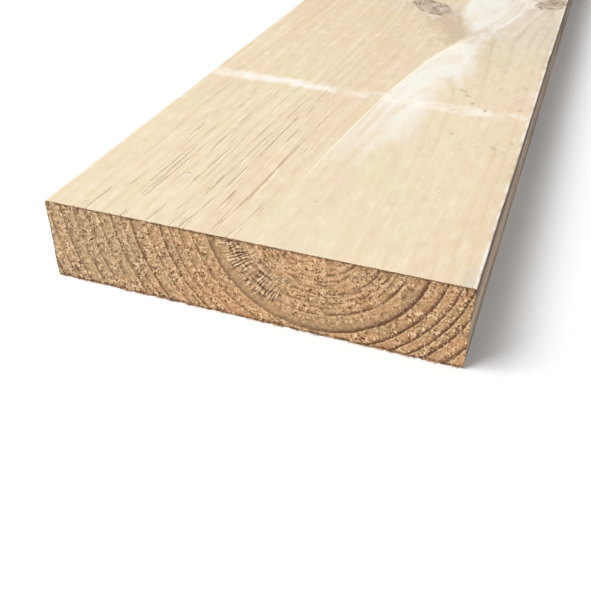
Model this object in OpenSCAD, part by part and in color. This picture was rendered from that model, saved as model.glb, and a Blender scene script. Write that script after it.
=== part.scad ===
// Sawn softwood plank: one solid of whitewood, 47 x 225 mm in section and 2.4 m long.
// It lies flat on its underside. +Z is up and the length runs along Y, with the near end
// at -Y. The origin is the centre of the underside.

/* [Stock] */
// Length between the two crosscut ends
plank_length = 2400; // [600:100:6000]
// Width of the two faces
plank_width = 225; // [75:1:300]
// Thickness from the underside to the top face
plank_thickness = 47; // [16:1:100]

/* [Edges] */
// Radius that the four long sawn arrises are worn to
arris_radius = 0.8; // [0.2:0.1:5]

/* [Hidden] */
ARRIS_FACETS = 32;

// The section as sawn: a rectangle standing on y = 0, with its four arrises rounded.
module sawn_section() {
    arris_x = plank_width / 2 - arris_radius;
    lower_arris_y = arris_radius;
    upper_arris_y = plank_thickness - arris_radius;

    // full thickness between the arrises, then full width between them
    translate([-arris_x, 0])
        square([2 * arris_x, plank_thickness]);
    translate([-plank_width / 2, lower_arris_y])
        square([plank_width, upper_arris_y - lower_arris_y]);

    for (x = [-arris_x, arris_x], y = [lower_arris_y, upper_arris_y])
        translate([x, y])
            circle(r = arris_radius, $fn = ARRIS_FACETS);
}

// One length of that section, cut square at both ends.
module plank() {
    color("burlywood")
        rotate([90, 0, 0])
            translate([0, 0, -plank_length / 2])
                linear_extrude(height = plank_length)
                    sawn_section();
}

plank();
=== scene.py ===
import math

import bmesh
import bpy
from mathutils import Matrix, Vector


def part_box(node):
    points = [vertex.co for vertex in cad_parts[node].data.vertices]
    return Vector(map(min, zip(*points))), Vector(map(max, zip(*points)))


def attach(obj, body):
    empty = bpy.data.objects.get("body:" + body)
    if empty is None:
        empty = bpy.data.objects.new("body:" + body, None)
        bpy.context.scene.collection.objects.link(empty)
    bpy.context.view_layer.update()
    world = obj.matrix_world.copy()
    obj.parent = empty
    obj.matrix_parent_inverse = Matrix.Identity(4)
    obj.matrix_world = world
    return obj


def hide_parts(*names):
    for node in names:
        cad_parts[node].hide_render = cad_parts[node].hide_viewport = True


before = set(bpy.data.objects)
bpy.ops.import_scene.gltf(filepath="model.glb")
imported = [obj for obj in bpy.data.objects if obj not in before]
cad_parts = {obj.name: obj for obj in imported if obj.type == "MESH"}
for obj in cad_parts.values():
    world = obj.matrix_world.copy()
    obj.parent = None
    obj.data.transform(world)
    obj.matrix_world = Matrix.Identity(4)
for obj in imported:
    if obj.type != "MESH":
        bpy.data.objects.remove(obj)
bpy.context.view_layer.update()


# ---- The camera --------------------------------------------------------------------------
# It stands low over the near end, a little right of the plank's middle, and looks down its
# length, so that the near end, the top face and the right edge all show.

low, high = (Vector(corner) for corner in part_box("plank"))
near_end = low.y
plank_width = high.x - low.x
plank_length = high.y - low.y
plank_thickness = high.z - low.z

camera_data = bpy.data.cameras.new("Camera")
camera_data.sensor_width = 36.0
camera_data.lens = 47.96
camera_data.clip_start = 0.01
camera = bpy.data.objects.new("Camera", camera_data)
bpy.context.scene.collection.objects.link(camera)
bpy.context.scene.camera = camera

CAMERA_RIGHT_OF_MIDDLE = 0.1341
CAMERA_BEFORE_NEAR_END = 0.2939
CAMERA_ABOVE_TOP_FACE = 0.2005
camera_place = Matrix.Translation((
    CAMERA_RIGHT_OF_MIDDLE,
    near_end - CAMERA_BEFORE_NEAR_END,
    high.z + CAMERA_ABOVE_TOP_FACE,
))
TURN_LEFT, LOOK_DOWN, ROLL = (math.radians(angle) for angle in (19.98, 35.84, 0.51))
camera.matrix_world = (
    camera_place
    @ Matrix.Rotation(TURN_LEFT, 4, "Z")
    @ Matrix.Rotation(math.pi / 2 - LOOK_DOWN, 4, "X")
    @ Matrix.Rotation(ROLL, 4, "Z")
)


# ---- How the tree grew -------------------------------------------------------------------
# The plank is one length of spruce, sawn just below the log's pith. Every surface of it cuts
# the same rings and branches, so the wood is worked out here for any point inside the log,
# and the relief and the three finishes all read it.

MM = 0.001
PITH_RIGHT_OF_MIDDLE = 36.1 * MM
PITH_ABOVE_TOP = 13.5 * MM

# Each year's ring, from the pith outwards: its width in mm, and how dark its latewood is.
YEARS = (
    (8.0, 0.2), (6.0, 0.2), (7.5, 0.3), (5.0, 0.3), (5.5, 0.5), (5.0, 0.3), (7.0, 0.5),
    (10.5, 0.6), (8.5, 0.6), (6.7, 0.6), (5.8, 0.7), (5.0, 1.0), (8.0, 0.5), (9.5, 0.9),
    (5.5, 0.4), (6.0, 0.7), (8.0, 0.4), (7.5, 0.6), (8.0, 0.4), (8.0, 0.7), (8.0, 0.5),
    (8.0, 0.7), (8.0, 0.5), (8.0, 0.7), (8.0, 0.5),
)
HEART_YEARS = 6  # whiter wood than what grew later

# The whorls, where the branches leave the stem and swell it.
WHORL_PITCH = 0.54
FIRST_WHORL = 0.46

# Each branch: metres from the near end where it leaves the pith, the way it points round the
# pith in degrees, how far it climbs along the log for each metre out, and its own ring width.
BRANCHES = (
    (0.366, 226, 0.90, 1.80 * MM),
    (0.408, 324, 0.90, 1.65 * MM),
    (0.925, 205, 0.75, 0.75 * MM),
    (0.945, 300, 0.70, 0.95 * MM),
    (1.472, 241, 0.80, 1.05 * MM),
    (1.495, 326, 0.80, 0.70 * MM),
    (2.015, 216, 0.70, 0.90 * MM),
    (2.030, 283, 0.85, 0.80 * MM),
)


class Value:
    """A number that a node tree works out. Arithmetic on it adds the nodes for that step."""

    def __init__(self, tree, socket):
        self.tree = tree
        self.socket = socket

    def __add__(self, other):
        return maths("ADD", self, other)

    def __sub__(self, other):
        return maths("SUBTRACT", self, other)

    def __rsub__(self, other):
        return maths("SUBTRACT", other, self)

    def __mul__(self, other):
        return maths("MULTIPLY", self, other)

    def __truediv__(self, other):
        return maths("DIVIDE", self, other)

    def __abs__(self):
        return maths("ABSOLUTE", self)

    __radd__ = __add__
    __rmul__ = __mul__

    def step(self, start, end):
        """Rises smoothly from 0 at start to 1 at end; start may be the larger."""
        limits = {"Value": self, "From Min": start, "From Max": end}
        node = add_node(self.tree, "ShaderNodeMapRange", limits, interpolation_type="SMOOTHSTEP")
        return Value(self.tree, node.outputs["Result"])

    def read_off(self, line, reach):
        """The height, 0 to 1, of a line through (place, height) points that ends at reach."""
        node = add_node(self.tree, "ShaderNodeFloatCurve", {"Value": self / reach})
        points = node.mapping.curves[0].points
        for place, height in line[1:-1]:
            points.new(place / reach, height)
        for point, (place, height) in ((points[0], line[0]), (points[-1], line[-1])):
            point.location = (place / reach, height)
        for point in points:
            point.handle_type = "VECTOR"
        node.mapping.update()
        return Value(self.tree, node.outputs["Value"])


def join(tree, value, socket):
    """Feeds a socket from a Value, from another socket or from a plain number or colour."""
    if isinstance(value, Value):
        tree.links.new(value.socket, socket)
    elif isinstance(value, bpy.types.NodeSocket):
        tree.links.new(value, socket)
    else:
        socket.default_value = value


def add_node(tree, kind, inputs, **settings):
    node = tree.nodes.new(kind)
    for name, setting in settings.items():
        setattr(node, name, setting)
    for name, value in inputs.items():
        join(tree, value, node.inputs[name])
    return node


def maths(operation, *values):
    tree = next(value.tree for value in values if isinstance(value, Value))
    node = add_node(tree, "ShaderNodeMath", dict(enumerate(values)), operation=operation)
    return Value(tree, node.outputs[0])


def noise(x, y, z, detail=2.0, roughness=0.5):
    """Smooth random values round 0.5; x, y and z come divided by the size of the blotches."""
    place = add_node(x.tree, "ShaderNodeCombineXYZ", {"X": x, "Y": y, "Z": z})
    look = {"Vector": place.outputs[0], "Scale": 1.0, "Detail": detail, "Roughness": roughness}
    return Value(x.tree, add_node(x.tree, "ShaderNodeTexNoise", look).outputs[0])


def split(tree, vector):
    parts = add_node(tree, "ShaderNodeSeparateXYZ", {0: vector})
    return [Value(tree, part) for part in parts.outputs]


KNOT_BLEND = 4.5  # how far from a branch, in years of growth, the stem's rings bend round it


def wave(v, height, length):
    """How far the pith has wandered at v, in a slow wave along the log."""
    return height * maths("SINE", v * (math.tau / length))


class Wood:
    """The wood at a point: x across the plank, v along it from the near end, z up."""

    def __init__(self, x, v, z):
        self.x, self.v, self.z = x, v, z
        pith_x = PITH_RIGHT_OF_MIDDLE + wave(v, 14 * MM, 3.3)
        pith_z = high.z + PITH_ABOVE_TOP + wave(v, 32 * MM, 4.8)
        pith_z = pith_z + wave(v, 9 * MM, 1.9) - wave(v, 2.6 * MM, 0.52)
        self.out_x = x - pith_x
        self.out_z = z - pith_z
        self.radius = maths("SQRT", self.out_x * self.out_x + self.out_z * self.out_z)
        self.stem_age = self.age_of_stem()
        self.branch_age = self.age_of_branches()
        self.age = maths("SMOOTH_MIN", self.stem_age, self.branch_age, KNOT_BLEND)
        self.season = maths("FRACT", self.age)
        self.lateness = self.season.step(0.45, 0.93) * self.season.step(1.0, 0.97)
        middles = [(year + 0.5, darkness) for year, (_, darkness) in enumerate(YEARS)]
        this_year = maths("FLOOR", self.age) + 0.5
        self.darkness = this_year.read_off(middles, len(YEARS))
        self.ring = self.lateness * self.darkness
        self.in_knot = (self.stem_age - self.branch_age).step(-0.3, 0.5)
        self.by_knot = (self.branch_age - self.stem_age).step(13.0, 0.0)

    def age_of_stem(self):
        """Years of growth between the pith and the point, if the stem had no branches."""
        wander = self.noise(60, 700, detail=1.0) - 0.5
        ripple = self.noise(10, 250, detail=1.0) - 0.5
        past_whorl = self.v - FIRST_WHORL + WHORL_PITCH / 2
        past_whorl = maths("FLOORED_MODULO", past_whorl, WHORL_PITCH) - WHORL_PITCH / 2
        swell = abs(past_whorl).step(0.13, 0.0) * self.radius.step(0.14, 0.04)
        even_radius = self.radius + wander * (3 * MM) + ripple * (0.9 * MM) - swell * (12 * MM)
        edges = [(0.0, 0.0)]
        for year, (width, _) in enumerate(YEARS, start=1):
            edges.append((edges[-1][0] + width * MM, year / len(YEARS)))
        return even_radius.read_off(edges, edges[-1][0]) * len(YEARS)

    def age_of_branches(self):
        """Years of growth between the point and the middle of the branch nearest to it."""
        ages = []
        for leaves_at, way, climb, ring_width in BRANCHES:
            turn = math.radians(way)
            out = Vector((math.cos(turn), climb, math.sin(turn))).normalized()
            gone = (self.out_x, self.v - leaves_at, self.out_z)
            squared = gone[0] * gone[0] + gone[1] * gone[1] + gone[2] * gone[2]
            travelled = gone[0] * out.x + gone[1] * out.y + gone[2] * out.z
            aside = maths("SQRT", maths("MAXIMUM", squared - travelled * travelled, 0.0))
            ages.append(aside / ring_width)
        nearest = ages[0]
        for age in ages[1:]:
            nearest = maths("MINIMUM", nearest, age)
        return nearest + (self.noise(9, 14) - 0.5) * 5.0

    def noise(self, across_mm, along_mm, **how):
        """Random blotches as wide and as long as given, in mm, drawn out along the grain."""
        across_grain, along_grain = across_mm * MM, along_mm * MM
        return noise(self.x / across_grain, self.v / along_grain, self.z / across_grain, **how)


# ---- The finishes ------------------------------------------------------------------------
# Unfinished wood as the mill left it. The two wide faces are cream, the narrow edges are a
# darker grey-brown, partly their own colour and partly painted shade, and the crosscut ends,
# where open fibres drink the light, are tan with brown rings.

FACE, EDGE, END = range(3)


def shade(red, green, blue):
    """A colour as a paint chart gives it, 0 to 255, as the share of light that it returns."""
    def linear(part):
        return part / 12.92 if part <= 0.04045 else ((part + 0.055) / 1.055) ** 2.4
    return (linear(red / 255), linear(green / 255), linear(blue / 255), 1.0)


def mix(amount, first, second):
    """The first colour with the second laid over it, by an amount from 0 to 1."""
    inputs = {"Factor": amount, 6: first, 7: second}
    node = add_node(amount.tree, "ShaderNodeMix", inputs, data_type="RGBA")
    return node.outputs[2]


class Finish:
    """A bare wood finish, with the wood at the point that is being shaded."""

    def __init__(self, name):
        self.material = bpy.data.materials.new(name)
        self.material.use_nodes = True
        self.tree = self.material.node_tree
        self.shader = self.tree.nodes["Principled BSDF"]
        place = add_node(self.tree, "ShaderNodeTexCoord", {}).outputs["Object"]
        x, y, z = split(self.tree, place)
        self.wood = Wood(x, y - near_end, z)

    def set(self, colour, roughness, height, depth):
        """Paints the shader; height is in the same measure as depth is for a height of 1."""
        bump = add_node(self.tree, "ShaderNodeBump", {"Height": height, "Distance": depth})
        join(self.tree, colour, self.shader.inputs["Base Color"])
        join(self.tree, roughness, self.shader.inputs["Roughness"])
        join(self.tree, bump.outputs[0], self.shader.inputs["Normal"])
        self.shader.inputs["Specular IOR Level"].default_value = 0.3


class FaceGrain:
    """The random patterns that several of the marks on a face share."""

    def __init__(self, wood):
        self.cloud = wood.noise(60, 260, detail=3.0)
        self.blush = wood.noise(26, 60, detail=3.0)
        self.mottle = wood.noise(6, 13, detail=4.0, roughness=0.6)
        self.streak = wood.noise(3.4, 120, detail=4.0, roughness=0.62)
        self.fibre = wood.noise(0.9, 12, detail=2.0, roughness=0.6)
        self.blot = wood.noise(8, 16, detail=3.0)
        self.wisp = noise(wood.age * 1.9, wood.v / (70 * MM), wood.x / (60 * MM), detail=2.0)


def plain_face(wood, grain):
    """Cream wood, clouded and streaked, a little darker and greyer further from the near end."""
    x, v = wood.x, wood.v
    colour = mix(grain.cloud.step(0.32, 0.68), shade(228, 211, 181), shade(224, 204, 174))
    colour = mix(grain.blush.step(0.50, 0.70) * 0.6, colour, shade(226, 202, 180))
    colour = mix(grain.blush.step(0.48, 0.30) * 0.6, colour, shade(222, 210, 175))
    colour = mix(v.step(0.26, 0.42) * x.step(-20 * MM, -90 * MM) * 0.6, colour, shade(222, 197, 166))
    colour = mix(v.step(0.24, 0.40) * x.step(15 * MM, 70 * MM) * 0.7, colour, shade(213, 201, 182))
    grey = v.step(0.22, 0.36) * x.step(20 * MM, 50 * MM) * wood.lateness
    colour = mix(grey * grain.streak.step(0.35, 0.60) * 0.40, colour, shade(190, 177, 160))
    clear = wood.noise(40, 300, detail=1.0).step(0.56, 0.42)
    colour = mix(wood.ring * (clear * 0.18 + 0.07), colour, shade(200, 168, 126))
    bold = v.step(0.18, 0.32) * x.step(40 * MM, 0.0) * 0.22
    colour = mix(grain.streak.step(0.42, 0.72) * (bold + 0.14), colour, shade(210, 185, 150))
    colour = mix(grain.streak.step(0.5, 0.28) * (bold + 0.18), colour, shade(238, 227, 204))
    colour = mix(grain.mottle.step(0.51, 0.72) * 0.40, colour, shade(238, 227, 206))
    return mix(grain.mottle.step(0.47, 0.27) * 0.40, colour, shade(210, 188, 156))


def add_heart(wood, grain, colour):
    """A tongue of whiter wood, milky in wisps that follow the rings, with a painted highlight on the
    ridge along its left side.
    """
    v, out_x = wood.v, wood.out_x
    past_tip = v.step(0.33, 0.37)
    soft = maths("MAXIMUM", past_tip, out_x.step(-8 * MM, 8 * MM) * 0.8)
    years = HEART_YEARS + past_tip * out_x.step(-12 * MM, 22 * MM) * 1.1
    years = years + out_x.step(-8 * MM, 8 * MM) * 0.7 + (grain.blush - 0.5) * soft * 3.0
    in_heart = (years - wood.age).step(-0.04, soft * 1.1 + 0.12)

    milky = grain.wisp.step(0.30, 0.66) * 0.8 + wood.noise(10, 34, detail=3.0) * 0.5
    milky = milky * (1.0 - out_x.step(-12 * MM, 30 * MM) * 0.55)
    milky = milky + v.step(0.17, 0.28) * (grain.cloud.step(0.25, 0.60) * 0.50 - past_tip * 0.20)
    milky = milky - out_x.step(-6 * MM, 14 * MM) * v.step(0.29, 0.24) * 0.5
    whiteness = in_heart * (v.step(0.08, 0.20) * 0.80 + 0.10) * (1.0 - v.step(0.5, 0.9) * 0.45)
    whiteness = maths("MINIMUM", whiteness * maths("MAXIMUM", milky, 0.0), 0.88)
    colour = mix(whiteness, colour, shade(238, 235, 226))

    run = wood.age.step(HEART_YEARS + 3.4, HEART_YEARS) * out_x.step(0.0, 20 * MM)
    run = run * v.step(0.335, 0.385) * v.step(0.62, 0.48) * grain.wisp.step(0.44, 0.60)
    colour = mix(run * 0.5, colour, shade(238, 233, 223))
    # painted highlight on the latewood ridge along the left side of the heart
    rim_highlight = wood.age.step(HEART_YEARS - 0.26, HEART_YEARS - 0.07) * in_heart
    rim_highlight = rim_highlight * out_x.step(6 * MM, -6 * MM) * v.step(0.03, 0.09) * (1.0 - past_tip)
    return mix(rim_highlight * (grain.streak.step(0.3, 0.5) * 0.85), colour, shade(250, 240, 212))


SAW_BITE = 2.6 * MM


def torn_grain(wood, grain):
    """Short tears along the latewood, broken up by each bite of the blade, and a painted highlight on
    their lips.
    """
    x, v, season = wood.x, wood.v, wood.season
    bites = maths("SINE", (v + x * 0.04) * (math.tau / SAW_BITE)) * 0.14 + grain.fibre * 1.5
    patch = wood.noise(4, 44, detail=3.0).step(0.46, 0.58)
    where = x.step(-100 * MM, -86 * MM) * x.step(2 * MM, -12 * MM) * v.step(0.30, 0.08) * 0.92 + 0.05
    hair = abs(wood.noise(4.6, 300, detail=0.0) - 0.5).step(0.014, 0.004)
    line = maths("MAXIMUM", season.step(0.82, 0.90) * season.step(1.0, 0.95) * 0.9, hair)
    torn = line * patch * where * bites.step(0.42, 0.90)
    lip_highlight = season.step(0.66, 0.74) * season.step(0.84, 0.78) * patch * where
    return torn, lip_highlight * bites.step(0.50, 0.90)


# The sticks that kept the planks apart in the kiln, one every 0.6 m and a little askew.
STICK_PITCH = 0.6
STICK_WIDTH = 18 * MM
FIRST_STICK = 0.2016
STICK_SKEW = 0.05


def from_stick(wood):
    """How far along the plank the point is from the middle of the nearest stick."""
    along = wood.v + wood.x * STICK_SKEW - FIRST_STICK + STICK_PITCH / 2
    return abs(maths("FLOORED_MODULO", along, STICK_PITCH) - STICK_PITCH / 2)


def add_stick_marks(wood, colour):
    """The pale, blotted strip that each stick left, strongest to the left."""
    ragged = (wood.noise(3.0, 14, detail=3.0) - 0.5) * (7 * MM)
    strip = (from_stick(wood) + ragged).step(STICK_WIDTH * 0.56, STICK_WIDTH * 0.14)
    blotted = wood.noise(13, 10, detail=3.0).step(0.28, 0.66) * 0.75
    blotted = blotted + wood.x.step(0.0, -80 * MM) * 0.35
    blotted = maths("MINIMUM", maths("MAXIMUM", blotted, 0.08), 0.95)
    return mix(strip * blotted, colour, shade(245, 236, 226))


# The brown stain of the first knot, which spread down and in towards the pith. DOWN and OVER
# are how far it runs towards the near end and to the right for each metre along itself.
STAIN_RIGHT_OF_MIDDLE = 36 * MM
STAIN_FROM_NEAR_END = 380 * MM
STAIN_REACH_ALONG = 52 * MM
STAIN_REACH_ACROSS = 30 * MM
STAIN_DOWN = 0.96
STAIN_OVER = 0.28


def add_stain(wood, grain, colour):
    past_x = wood.x - STAIN_RIGHT_OF_MIDDLE
    past_v = wood.v - STAIN_FROM_NEAR_END
    along = (past_x * STAIN_OVER - past_v * STAIN_DOWN) / STAIN_REACH_ALONG
    across = (past_x * STAIN_DOWN + past_v * STAIN_OVER) / STAIN_REACH_ACROSS
    stain = maths("SQRT", along * along + across * across)
    stain = stain + (grain.blush - 0.5) * 1.4 + (grain.mottle - 0.5)
    stain = stain.step(1.20, 0.45) * wood.z.step(low.z, high.z)
    stain = stain * wood.age.step(HEART_YEARS - 0.1, HEART_YEARS + 0.1)
    return mix(stain * 0.72, colour, shade(196, 174, 148))


def add_knots(wood, grain, colour):
    """Brown wood with fine rings of its own, in a stain that spreads along the grain."""
    blot = grain.blot
    by_knot = wood.by_knot * wood.by_knot
    colour = mix(by_knot * blot.step(0.35, 0.6) * 0.6, colour, shade(204, 186, 166))
    colour = mix(wood.by_knot * grain.wisp.step(0.50, 0.64) * 0.45, colour, shade(241, 230, 217))
    swirl = maths("SINE", wood.branch_age * 1.3 + blot * 9.0)
    knot = mix(blot.step(0.36, 0.62), shade(204, 184, 158), shade(174, 153, 128))
    knot = mix(swirl.step(-0.6, 0.8) * 0.55, knot, shade(164, 138, 116))
    knot = mix(swirl.step(0.75, 1.0) * blot.step(0.46, 0.60), knot, shade(116, 90, 78))
    colour = mix(wood.in_knot * (blot * 0.6 + 0.5), colour, knot)
    bark = wood.in_knot.step(0.02, 0.40) * wood.in_knot.step(1.0, 0.60)
    bark = bark * wood.stem_age.step(7.4, 8.6) * blot.step(0.34, 0.60)
    return mix(bark * 0.8, colour, shade(122, 96, 84))


def add_wear_and_sheen(wood, grain, colour):
    """Worn corners and arrises with a painted highlight and sheen, spots of mould beside the stick
    marks, and grit.
    """
    x, mottle = wood.x, grain.mottle
    from_end = plank_length / 2 - abs(wood.v - plank_length / 2)
    # grey patch at the right corners by each end: partly wear and partly a painted sheen
    corner_sheen_and_wear = x.step(102 * MM, 109 * MM) * from_end.step(26 * MM, 6 * MM)
    colour = mix(corner_sheen_and_wear * mottle.step(0.30, 0.55) * 0.35, colour, shade(190, 188, 184))
    # pale strip along the long arrises: partly wear and partly a painted highlight
    arris_wear_and_highlight = (plank_width / 2 - abs(x)).step(2.4 * MM, 0.9 * MM) * mottle.step(0.36, 0.58)
    arris_wear_and_highlight = arris_wear_and_highlight * (x.step(-20 * MM, 90 * MM) * 0.65 + 0.15)
    colour = mix(arris_wear_and_highlight, colour, shade(250, 245, 234))
    spot = wood.noise(5, 9, detail=0.0).step(0.72, 0.82) * x.step(52 * MM, 70 * MM)
    spot = spot * from_stick(wood).step(70 * MM, 30 * MM)
    colour = mix(spot * 0.6, colour, shade(160, 152, 126))
    speck = wood.noise(2.2, 3.0, detail=1.0).step(0.78, 0.82)
    return mix(speck * 0.6, colour, shade(120, 104, 88))


def whitewood_face():
    finish = Finish("Whitewood face")
    wood = finish.wood
    grain = FaceGrain(wood)
    colour = add_heart(wood, grain, plain_face(wood, grain))
    torn, lip_highlight = torn_grain(wood, grain)
    colour = mix(torn * 0.52, colour, shade(186, 148, 102))
    # painted highlight on the raised lips beside the tears
    colour = mix(lip_highlight * 0.8, colour, shade(250, 236, 206))

    # short pale and dark hairs all over the face
    hairs = wood.noise(1.3, 24, detail=1.0)
    colour = mix(hairs.step(0.68, 0.76) * 0.5, colour, shade(246, 235, 210))
    colour = mix(hairs.step(0.32, 0.25) * 0.35, colour, shade(196, 170, 134))
    colour = add_stain(wood, grain, add_stick_marks(wood, colour))
    colour = add_wear_and_sheen(wood, grain, add_knots(wood, grain, colour))

    roughness = 0.70 - wood.ring * 0.10 + torn * 0.2 - wood.in_knot * 0.15
    height = grain.streak * 0.5 + (grain.fibre + grain.mottle) * 0.6 + wood.ring * 0.3 - torn * 2.0
    finish.set(colour, roughness, height, 0.25 * MM)
    return finish.material


def whitewood_edge():
    finish = Finish("Whitewood edge")
    wood = finish.wood
    cloud = wood.noise(20, 130, detail=3.0)
    streak = wood.noise(2.6, 60, detail=4.0, roughness=0.7)
    fibre = wood.noise(0.8, 14, detail=2.0)
    # grey-brown, partly the wood's own colour and partly painted shade; darker further along and under
    # the top arris
    colour = mix(cloud.step(0.3, 0.7), shade(220, 194, 168), shade(170, 153, 136))
    colour = mix(wood.ring * 0.6, colour, shade(138, 114, 94))
    colour = mix(streak.step(0.48, 0.72) * 0.75, colour, shade(138, 120, 104))
    colour = mix(streak.step(0.44, 0.28) * 0.45, colour, shade(220, 200, 176))
    colour = mix(wood.v.step(0.12, 0.42) * 0.35, colour, shade(124, 103, 84))
    from_top = high.z - wood.z + (cloud - 0.5) * (12 * MM)
    colour = mix(from_top.step(17 * MM, 7 * MM) * 0.90, colour, shade(86, 66, 48))
    patch = wood.noise(6, 85, detail=4.0, roughness=0.6)
    colour = mix(patch.step(0.48, 0.66) * 0.65, colour, shade(116, 90, 70))
    colour = mix(patch.step(0.46, 0.30) * 0.35, colour, shade(200, 184, 168))
    colour = mix(wood.in_knot * 0.85, colour, shade(118, 96, 78))
    dapple = wood.noise(8, 62, detail=3.0, roughness=0.55)
    colour = mix(dapple.step(0.50, 0.66) * 0.50, colour, shade(104, 84, 64))
    colour = mix(dapple.step(0.48, 0.32) * 0.30, colour, shade(192, 182, 170))
    height = streak + fibre * 0.6 + dapple * 0.8 + wood.ring * 0.5
    finish.set(colour, 0.78 - wood.ring * 0.1, height, 0.28 * MM)
    return finish.material


def end_rings(wood, cloud):
    """Tan wood with one smooth year, brown rings that are darkest to the right, and a painted highlight
    on the ridge where each year begins.
    """
    x = wood.x
    tint = wood.noise(11, 30, detail=2.0)
    colour = mix(cloud.step(0.35, 0.65), shade(214, 167, 121), shade(198, 157, 113))
    colour = mix(x.step(-10 * MM, -90 * MM) * 0.75, colour, shade(190, 164, 128))
    colour = mix(tint.step(0.52, 0.68) * 0.5, colour, shade(174, 148, 112))
    colour = mix(tint.step(0.47, 0.33) * 0.4, colour, shade(216, 162, 122))
    smooth_year = wood.age.step(7.38, 7.58) * wood.age.step(8.0, 7.92)
    smooth_year = smooth_year * wood.out_z.step(-13 * MM, -24 * MM)
    colour = mix(smooth_year * (cloud * 0.7 + 0.1), colour, shade(172, 148, 114))

    right = x.step(20 * MM, 70 * MM)
    dark_ring = maths("MINIMUM", wood.ring * (right * 0.80 + 0.50), 0.92)
    colour = mix(dark_ring, colour, shade(136, 96, 64))
    line = wood.season.step(0.74, 0.92) * wood.season.step(1.0, 0.97) * wood.darkness
    line = maths("MINIMUM", line * (right * 0.8 + 0.8) * cloud.step(0.20, 0.45), 0.90)
    colour = mix(line, colour, shade(98, 64, 40))
    # painted highlight on the ridge where each year's spring wood begins
    ridge_highlight = wood.season.step(0.0, 0.04) * wood.season.step(0.20, 0.08) * wood.darkness
    return mix(ridge_highlight * 0.6, colour, shade(234, 194, 150)), smooth_year, line


def add_checks(wood, patch, colour):
    """Drying checks: fine lines out from the pith and round it, thickest on its left."""
    turn = maths("ARCTAN2", wood.out_z, wood.out_x)
    ray = noise(turn * 58.0, wood.radius / (8 * MM), wood.v / (60 * MM), detail=1.0)
    arc = noise(turn * 4.0, wood.radius / (1.7 * MM), wood.v / (60 * MM), detail=2.0)
    near_pith = wood.age.step(7.4, 6.6)
    colour = mix(arc.step(0.52, 0.66) * near_pith * 0.55, colour, shade(240, 202, 158))
    colour = mix(arc.step(0.47, 0.34) * near_pith * 0.55, colour, shade(104, 68, 44))
    checked = wood.age.step(4.2, 5.8) * wood.age.step(7.6, 7.2) * patch
    checked = checked * wood.x.step(24 * MM, 12 * MM) * wood.x.step(-18 * MM, -6 * MM)
    colour = mix(ray.step(0.52, 0.58) * checked * 0.90, colour, shade(250, 218, 180))
    colour = mix(ray.step(0.47, 0.40) * checked * 0.95, colour, shade(78, 48, 32))
    colour = mix(arc.step(0.48, 0.38) * checked * 0.70, colour, shade(80, 50, 34))
    return colour, (ray + arc) * checked


def whitewood_end_grain():
    finish = Finish("Whitewood end grain")
    wood = finish.wood
    cloud = wood.noise(24, 40, detail=2.0)
    rough = wood.noise(2.5, 5, detail=3.0, roughness=0.8)
    finer = wood.noise(1.1, 3, detail=1.0)
    colour, smooth_year, line = end_rings(wood, cloud)

    # the saw leaves the soft wood torn and the hard wood smooth; the pale and dark flecks on the torn
    # wood are painted highlight on the fibre tips and painted shade in the pits between them
    patch = wood.noise(7, 20).step(0.36, 0.58) * 0.7 + 0.3
    flecked = (1.0 - smooth_year * 0.7) * (1.0 - line * 0.7) * patch
    colour = mix(rough.step(0.54, 0.60) * flecked, colour, shade(254, 218, 174))
    colour = mix(rough.step(0.45, 0.38) * flecked, colour, shade(100, 64, 42))
    colour = mix(finer.step(0.61, 0.67) * flecked, colour, shade(92, 58, 38))
    colour = mix(finer.step(0.39, 0.33) * flecked, colour, shade(254, 220, 178))
    colour, checks = add_checks(wood, patch, colour)

    # dark, torn fibres along the upper and lower arrises
    depth = plank_thickness / 2 - abs(wood.z - (low.z + plank_thickness / 2))
    fringe = (depth + (rough - 0.5) * (6 * MM)).step(2.4 * MM, 0.4 * MM)
    colour = mix(fringe * 0.8, colour, shade(108, 76, 50))

    height = rough * flecked * 1.2 + finer * 0.4 + wood.ring * 0.5 + checks * 0.5
    finish.set(colour, 0.85 - wood.ring * 0.1, height, 0.9 * MM)
    return finish.material


def loose_fibre(name, pale, dark):
    finish = Finish(name)
    wood = finish.wood
    tint = wood.noise(1.3, 4, detail=2.0).step(0.35, 0.65)
    colour = mix(tint, dark, pale)
    finish.set(colour, 0.8 - tint * 0.1, wood.noise(0.3, 2), 0.05 * MM)
    return finish.material


finishes = (whitewood_face(), whitewood_edge(), whitewood_end_grain())


# ---- The plank ---------------------------------------------------------------------------
# One sawn length of whitewood, as it left the saw: flat faces, long arrises worn a little
# round, and crosscut ends whose soft spring wood stands lower than the rest.

ACROSS_CELLS = 112
THROUGH_CELLS = 24
FIRST_ROW = 1.2 * MM
ROW_GROWTH = 1.22
LONGEST_ROW_IN_VIEW = 6.5 * MM
LONGEST_ROW = 15.0 * MM
FINE_LENGTH = 0.52
ARRIS = 0.8 * MM
ARRIS_STEPS = 4


def stations_across():
    """Places across the width, from the left arris to the right, close together round each."""
    corner = plank_width / 2 - ARRIS
    turns = [math.pi / 2 * step / ARRIS_STEPS for step in range(1, ARRIS_STEPS + 1)]
    bend = [ARRIS * math.sin(turn) for turn in turns]
    flat = [corner * (2 * cell / ACROSS_CELLS - 1) for cell in range(ACROSS_CELLS + 1)]
    return [-corner - past for past in reversed(bend)] + flat + [corner + past for past in bend]


def stations_along():
    """Places along the length, closest at the ends, where the saw tore the fibres."""
    places = [0.0]
    row = FIRST_ROW
    while places[-1] + row < plank_length / 2:
        places.append(places[-1] + row)
        longest = LONGEST_ROW_IN_VIEW if places[-1] < FINE_LENGTH else LONGEST_ROW
        row = min(row * ROW_GROWTH, longest)
    other_half = [plank_length - place for place in reversed(places)]
    return [near_end + place for place in places + other_half]


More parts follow.
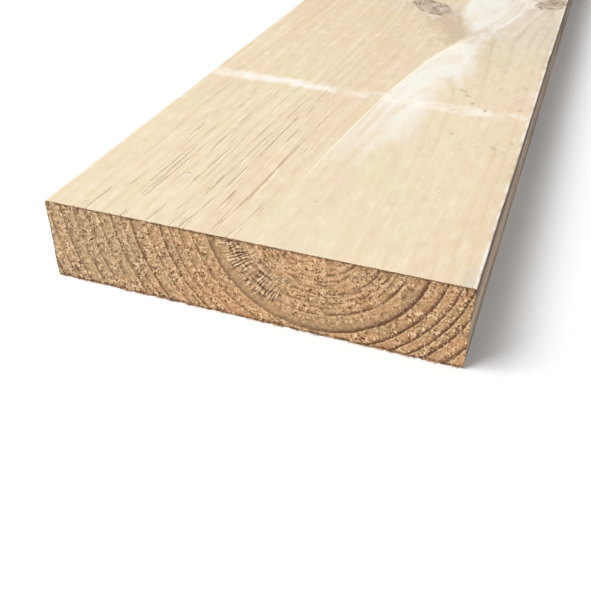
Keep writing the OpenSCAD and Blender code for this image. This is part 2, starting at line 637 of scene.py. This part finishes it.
def face_height(x):
    """How far the faces stand from mid-thickness at a place across: less on the arrises."""
    past = max(abs(x) - (plank_width / 2 - ARRIS), 0.0)
    return plank_thickness / 2 - ARRIS + math.sqrt(max(ARRIS ** 2 - past ** 2, 0.0))


across = stations_across()
along = stations_along()
through = [2 * cell / THROUGH_CELLS - 1 for cell in range(THROUGH_CELLS + 1)]
last_i, last_j, last_k = len(across) - 1, len(along) - 1, len(through) - 1
body = bmesh.new()
finish_of = body.faces.layers.int.new("finish")
corners = {}


def corner_at(i, j, k):
    if (i, j, k) not in corners:
        middle = low.z + plank_thickness / 2
        place = (across[i], along[j], middle + through[k] * face_height(across[i]))
        corners[i, j, k] = body.verts.new(place)
    return corners[i, j, k]


def cover(finish, rows, columns, spot):
    """Lays one side of the plank in four-cornered cells; spot turns row and column to i, j, k."""
    for row in range(rows):
        for column in range(columns):
            ring = ((row, column), (row, column + 1), (row + 1, column + 1), (row + 1, column))
            cell = body.faces.new([corner_at(*spot(*place)) for place in ring])
            cell[finish_of] = finish
            cell.smooth = True


cover(FACE, last_i, last_j, lambda i, j: (i, j, 0))
cover(FACE, last_j, last_i, lambda j, i: (i, j, last_k))
cover(EDGE, last_j, last_k, lambda j, k: (0, j, k))
cover(EDGE, last_k, last_j, lambda k, j: (last_i, j, k))
cover(END, last_k, last_i, lambda k, i: (i, 0, k))
cover(END, last_i, last_k, lambda i, k: (i, last_j, k))
bmesh.ops.recalc_face_normals(body, faces=body.faces)

# Each cell of the two ends is cut in four, so that the end grain's relief is fine enough.
end_sides = {side for cell in body.faces if cell[finish_of] == END for side in cell.edges}
bmesh.ops.subdivide_edges(body, edges=list(end_sides), cuts=1, use_grid_fill=True)
for side in body.edges:
    meeting = {cell[finish_of] for cell in side.link_faces}
    side.smooth = END not in meeting or len(meeting) == 1

plank_mesh = bpy.data.meshes.new("sawn_plank")
body.to_mesh(plank_mesh)
body.free()
plank = bpy.data.objects.new("sawn_plank", plank_mesh)
bpy.context.scene.collection.objects.link(plank)


def new_tree(name, sizes):
    """A Geometry Nodes tree with a named input for each size; gives it, its way in and out."""
    tree = bpy.data.node_groups.new(name, "GeometryNodeTree")
    tree.interface.new_socket("Geometry", in_out="INPUT", socket_type="NodeSocketGeometry")
    for size_name, size in sizes.items():
        kind = "NodeSocketInt" if isinstance(size, int) else "NodeSocketFloat"
        tree.interface.new_socket(size_name, in_out="INPUT", socket_type=kind)
    tree.interface.new_socket("Geometry", in_out="OUTPUT", socket_type="NodeSocketGeometry")
    way_in = tree.nodes.new("NodeGroupInput")
    return tree, way_in, tree.nodes.new("NodeGroupOutput")


def cells_with(tree, finish):
    """Picks the cells of the plank that have one of the three finishes."""
    name = {"Name": "finish"}
    stored = add_node(tree, "GeometryNodeInputNamedAttribute", name, data_type="INT")
    inputs = {2: stored.outputs["Attribute"], 3: finish}
    equal = {"data_type": "INT", "operation": "EQUAL"}
    return add_node(tree, "FunctionNodeCompare", inputs, **equal).outputs[0]


def run(piece, tree, sizes):
    """Runs a Geometry Nodes tree on a piece, then keeps the result as its plain mesh."""
    modifier = piece.modifiers.new(tree.name, "NODES")
    modifier.node_group = tree
    for item in tree.interface.items_tree:
        if item.name in sizes:
            modifier[item.identifier] = sizes[item.name]
    graph = bpy.context.evaluated_depsgraph_get()
    result = bpy.data.meshes.new_from_object(piece.evaluated_get(graph))
    piece.modifiers.clear()
    if result.materials[0] is None:
        result.materials.pop(index=0)
    piece.data = result


# The relief only goes inwards, so the plank keeps its sawn size: the soft spring wood stands
# lower, the crosscut ends are torn, and handling has worn and dented the arrises.
RELIEF = {
    "Spring wood on the faces": 0.08 * MM,
    "Spring wood on the ends": 0.40 * MM,
    "Torn fibres on the ends": 0.80 * MM,
    "Saw waver": 0.25 * MM,
    "Worn arrises": 1.10 * MM,
    "Chipped ends": 0.90 * MM,
}
relief, way_in, way_out = new_tree("Sawn relief", RELIEF)
depth_of = {name: Value(relief, way_in.outputs[name]) for name in RELIEF}
x, y, z = split(relief, add_node(relief, "GeometryNodeInputPosition", {}).outputs[0])
normal = add_node(relief, "GeometryNodeInputNormal", {}).outputs[0]
wood = Wood(x, y - near_end, z)
on_end = abs(split(relief, normal)[1]).step(0.5, 0.9)
from_edge = plank_width / 2 - abs(x)
from_face = plank_thickness / 2 - abs(z - (low.z + plank_thickness / 2))
on_arris = from_edge.step(3 * MM, 0.0) * from_face.step(3 * MM, 0.0)
spring = maths("COSINE", wood.age * math.tau) * -0.5 + 0.5
torn = wood.noise(1.6, 6, roughness=0.7).step(0.45, 0.75)
dented = wood.noise(30, 18, detail=3.0, roughness=0.6).step(0.5, 0.85)
from_end = plank_length / 2 - abs(y)
on_end_arris = from_end.step(2.2 * MM, 0.0) * from_face.step(2.2 * MM, 0.0)
chipped = wood.noise(4, 4, detail=3.0, roughness=0.7).step(0.42, 0.72)
sunk = spring * depth_of["Spring wood on the faces"] * (1.0 - on_end)
sunk = sunk + spring * depth_of["Spring wood on the ends"] * on_end
sunk = sunk + torn * depth_of["Torn fibres on the ends"] * on_end
sunk = sunk + wood.noise(40, 60) * depth_of["Saw waver"]
sunk = sunk + on_arris * dented * depth_of["Worn arrises"]
sunk = sunk + on_end_arris * chipped * depth_of["Chipped ends"]
inwards = {0: normal, "Scale": sunk * -1.0}
inwards = add_node(relief, "ShaderNodeVectorMath", inwards, operation="SCALE").outputs[0]
moved = {"Geometry": way_in.outputs["Geometry"], "Offset": inwards}
shaped = add_node(relief, "GeometryNodeSetPosition", moved).outputs[0]
shaped = add_node(relief, "GeometryNodeRealizeInstances", {0: shaped}).outputs[0]
for finish, material in enumerate(finishes):
    chosen = {"Geometry": shaped, "Selection": cells_with(relief, finish), "Material": material}
    shaped = add_node(relief, "GeometryNodeSetMaterial", chosen).outputs[0]
join(relief, shaped, way_out.inputs["Geometry"])
run(plank, relief, RELIEF)

# The layout for baking: the two faces, the two edges and the two ends lie side by side, the
# long ones squeezed along the grain, where the wood changes slowly.
PICTURE = 1024
GAP = 7
ACROSS_SCALE = 1.31 / MM
END_SCALE = 2.6 / MM
LONG_SCALE = (PICTURE - 2 * GAP) / plank_length
strips = (
    plank_width * ACROSS_SCALE, plank_width * ACROSS_SCALE,
    plank_thickness * ACROSS_SCALE, plank_thickness * ACROSS_SCALE,
    plank_thickness * END_SCALE, plank_thickness * END_SCALE,
)
strip_at = [GAP + sum(strips[:place]) + place * GAP for place in range(len(strips))]
layout = plank.data.uv_layers.new(name="OFBake")
finish_of = plank.data.attributes["finish"].data
for cell in plank.data.polygons:
    finish = finish_of[cell.index].value
    facing_out = (cell.normal.z, cell.normal.x, cell.normal.y)[finish] > 0
    left = strip_at[2 * finish + facing_out]
    for corner in cell.loop_indices:
        spot = plank.data.vertices[plank.data.loops[corner].vertex_index].co - low
        if finish == END:
            place = (left + spot.z * END_SCALE, GAP + spot.x * END_SCALE)
        elif finish == FACE:
            place = (left + spot.x * ACROSS_SCALE, GAP + spot.y * LONG_SCALE)
        else:
            place = (left + spot.z * ACROSS_SCALE, GAP + spot.y * LONG_SCALE)
        layout.data[corner].uv = (place[0] / PICTURE, place[1] / PICTURE)

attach(plank, "root")
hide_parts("plank")


# ---- The broken fibres -------------------------------------------------------------------
# Wood fibres that the crosscut saw pulled out and left standing along the upper and lower
# arrises of both ends. Each is a thin pointed sliver, still rooted in the plank.

def add_piece(name, points, edges, faces):
    mesh = bpy.data.meshes.new(name)
    mesh.from_pydata(points, edges, faces)
    piece = bpy.data.objects.new(name, mesh)
    bpy.context.scene.collection.objects.link(piece)
    return piece


def chance(tree, least, most, seed):
    """A number that is drawn afresh for each point, from least to most."""
    drawn = {2: least, 3: most, "Seed": seed}
    return Value(tree, add_node(tree, "FunctionNodeRandomValue", drawn).outputs[1])


def slivers_on(tree, points, chosen, turn, thickness, length):
    """A pointed four-sided sliver on each chosen point, rooted a quarter of its length deep."""
    shape = {"Vertices": 4, "Radius Top": 0.0, "Radius Bottom": 0.5, "Depth": 1.0}
    cone = add_node(tree, "GeometryNodeMeshCone", shape).outputs["Mesh"]
    rooted = {"Geometry": cone, "Translation": (0.0, 0.0, -0.25)}
    cone = add_node(tree, "GeometryNodeTransform", rooted).outputs[0]
    rotation = dict(zip("XYZ", turn))
    scale = {"X": thickness, "Y": thickness, "Z": length}
    placing = {
        "Points": points,
        "Selection": chosen.socket,
        "Instance": cone,
        "Rotation": add_node(tree, "ShaderNodeCombineXYZ", rotation).outputs[0],
        "Scale": add_node(tree, "ShaderNodeCombineXYZ", scale).outputs[0],
    }
    placed = add_node(tree, "GeometryNodeInstanceOnPoints", placing).outputs[0]
    return add_node(tree, "GeometryNodeRealizeInstances", {0: placed}).outputs[0]


ARRIS_FIBRES = {
    "Spacing": 0.25 * MM,
    "Longest fibre": 3.8 * MM,
    "Thickness": 0.46 * MM,
    "Splay": 1.0,
    "Seed": 11,
}
reach_x = plank_width / 2 - 1.0 * MM
end_y = plank_length / 2 - 0.3 * MM
heights = (low.z + 0.7 * MM, high.z - 0.5 * MM)
lines = [(side * end_y, height) for side in (-1, 1) for height in heights]
broken_fibres = add_piece(
    "broken_fibres",
    [(x, y, z) for y, z in lines for x in (-reach_x, reach_x)],
    [(2 * line, 2 * line + 1) for line in range(len(lines))],
    [],
)
fraying, way_in, way_out = new_tree("Frayed arrises", ARRIS_FIBRES)
setting = {name: Value(fraying, way_in.outputs[name]) for name in ARRIS_FIBRES}
curve = add_node(fraying, "GeometryNodeMeshToCurve", {"Mesh": way_in.outputs["Geometry"]}).outputs[0]
spaced = {"Curve": curve, "Length": setting["Spacing"]}
spaced = add_node(fraying, "GeometryNodeCurveToPoints", spaced, mode="LENGTH").outputs["Points"]
x, y, z = split(fraying, add_node(fraying, "GeometryNodeInputPosition", {}).outputs[0])
seed = setting["Seed"]
tuft = noise(x / (7 * MM), y, z / (7 * MM), detail=3.0).step(0.40, 0.62)
is_there = maths("GREATER_THAN", tuft * 0.75 + 0.08, chance(fraying, 0.0, 1.0, seed))
share = chance(fraying, 0.35, 1.0, seed + 1)
length = setting["Longest fibre"] * share * share
thickness = setting["Thickness"] * chance(fraying, 0.5, 1.0, seed + 2)
lift = chance(fraying, 0.0, 1.0, seed + 3) * setting["Splay"] * z.step(low.z, high.z)
sway = chance(fraying, -1.0, 1.0, seed + 4) * setting["Splay"]
lean = maths("SIGN", y) * (lift - math.pi / 2)
frayed = slivers_on(fraying, spaced, is_there, (lean, 0.0, sway), thickness, length)
fibre_brown = loose_fibre("Broken fibre", shade(206, 168, 126), shade(124, 88, 58))
frayed = {"Geometry": frayed, "Material": fibre_brown}
frayed = add_node(fraying, "GeometryNodeSetMaterial", frayed).outputs[0]
join(fraying, frayed, way_out.inputs["Geometry"])
run(broken_fibres, fraying, ARRIS_FIBRES)
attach(broken_fibres, "root")


# ---- The raised fibres -------------------------------------------------------------------
# Slivers that the saw lifted from the top face and the two edges. They are the plank's own
# wood, lie along the grain, and are rooted at one end and loose at the other.

FACE_FIBRES = {
    "Fibres on a square metre": 5200.0,
    "Longest fibre": 7.0 * MM,
    "Thickness": 0.34 * MM,
    "Lift": 0.045,
    "Seed": 5,
}
side_x = plank_width / 2 - 0.25 * MM
top_z = high.z - 0.22 * MM
inner_x = plank_width / 2 - 3 * MM
inner_y = plank_length / 2 - 10 * MM
lower_z, upper_z = low.z + 3 * MM, high.z - 3 * MM
raised_fibres = add_piece(
    "raised_fibres",
    [
        (-inner_x, -inner_y, top_z), (inner_x, -inner_y, top_z),
        (inner_x, inner_y, top_z), (-inner_x, inner_y, top_z),
        (side_x, -inner_y, lower_z), (side_x, inner_y, lower_z),
        (side_x, inner_y, upper_z), (side_x, -inner_y, upper_z),
        (-side_x, inner_y, lower_z), (-side_x, -inner_y, lower_z),
        (-side_x, -inner_y, upper_z), (-side_x, inner_y, upper_z),
    ],
    [],
    [(0, 1, 2, 3), (4, 5, 6, 7), (8, 9, 10, 11)],
)
lifting, way_in, way_out = new_tree("Lifted grain", FACE_FIBRES)
setting = {name: Value(lifting, way_in.outputs[name]) for name in FACE_FIBRES}
seed = setting["Seed"]
scattered = add_node(lifting, "GeometryNodeDistributePointsOnFaces", {
    "Mesh": way_in.outputs["Geometry"],
    "Density": setting["Fibres on a square metre"],
    "Seed": seed,
})
x, y, z = split(lifting, add_node(lifting, "GeometryNodeInputPosition", {}).outputs[0])
patchy = noise(x / (30 * MM), y / (90 * MM), z / (30 * MM)).step(0.40, 0.62)
is_there = maths("GREATER_THAN", patchy * 0.7 + 0.2, chance(lifting, 0.0, 1.0, seed + 1))
share = chance(lifting, 0.3, 1.0, seed + 2)
length = setting["Longest fibre"] * share * share
thickness = setting["Thickness"] * chance(lifting, 0.5, 1.0, seed + 3)
lift = setting["Lift"] * chance(lifting, 0.4, 1.0, seed + 4)
on_side = maths("SIGN", x) * abs(x).step(inner_x, side_x)
on_top = 1.0 - abs(on_side)
lean = on_top * lift - math.pi / 2
sway = on_side * lift * -1.0 + chance(lifting, -0.02, 0.02, seed + 5) * on_top
lifted = slivers_on(lifting, scattered.outputs["Points"], is_there, (lean, 0.0, sway), thickness, length)
fibre_cream = loose_fibre("Raised fibre", shade(240, 226, 198), shade(206, 182, 148))
lifted = {"Geometry": lifted, "Material": fibre_cream}
lifted = add_node(lifting, "GeometryNodeSetMaterial", lifted).outputs[0]
join(lifting, lifted, way_out.inputs["Geometry"])
run(raised_fibres, lifting, FACE_FIBRES)
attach(raised_fibres, "root")


# ---- The floor and the light -------------------------------------------------------------
# A plain white studio floor, one large soft lamp over the left of the near end, and an even
# pale sky that fills the shadows.

FLOOR_REACH = 30.0
floor_mesh = bpy.data.meshes.new("studio_floor")
floor_mesh.from_pydata(
    [(sx * FLOOR_REACH, sy * FLOOR_REACH, low.z) for sx, sy in ((-1, -1), (1, -1), (1, 1), (-1, 1))],
    [],
    [(0, 1, 2, 3)],
)
studio_floor = bpy.data.objects.new("studio_floor", floor_mesh)
bpy.context.scene.collection.objects.link(studio_floor)
floor_paint = bpy.data.materials.new("Studio floor")
floor_paint.use_nodes = True
paint = floor_paint.node_tree.nodes["Principled BSDF"]
paint.inputs["Base Color"].default_value = (0.92, 0.92, 0.92, 1.0)
paint.inputs["Roughness"].default_value = 1.0
paint.inputs["Specular IOR Level"].default_value = 0.0
floor_mesh.materials.append(floor_paint)

sky = bpy.data.worlds.new("Studio")
sky.use_nodes = True
sky.node_tree.nodes["Background"].inputs["Color"].default_value = (1.0, 1.0, 1.0, 1.0)
sky.node_tree.nodes["Background"].inputs["Strength"].default_value = 0.42
bpy.context.scene.world = sky

lamp_data = bpy.data.lights.new("Key", "AREA")
lamp_data.shape = "SQUARE"
lamp_data.size = 2.6
lamp_data.energy = 203.0
lamp = bpy.data.objects.new("Key", lamp_data)
LAMP_PLACE = Vector((-2.0, near_end - 1.2, 3.9))
lamp.location = LAMP_PLACE
aim = Vector((0.0, near_end + 0.6, high.z)) - LAMP_PLACE
lamp.rotation_euler = aim.to_track_quat("-Z", "Y").to_euler()
bpy.context.scene.collection.objects.link(lamp)

bpy.context.scene.view_settings.view_transform = "Standard"
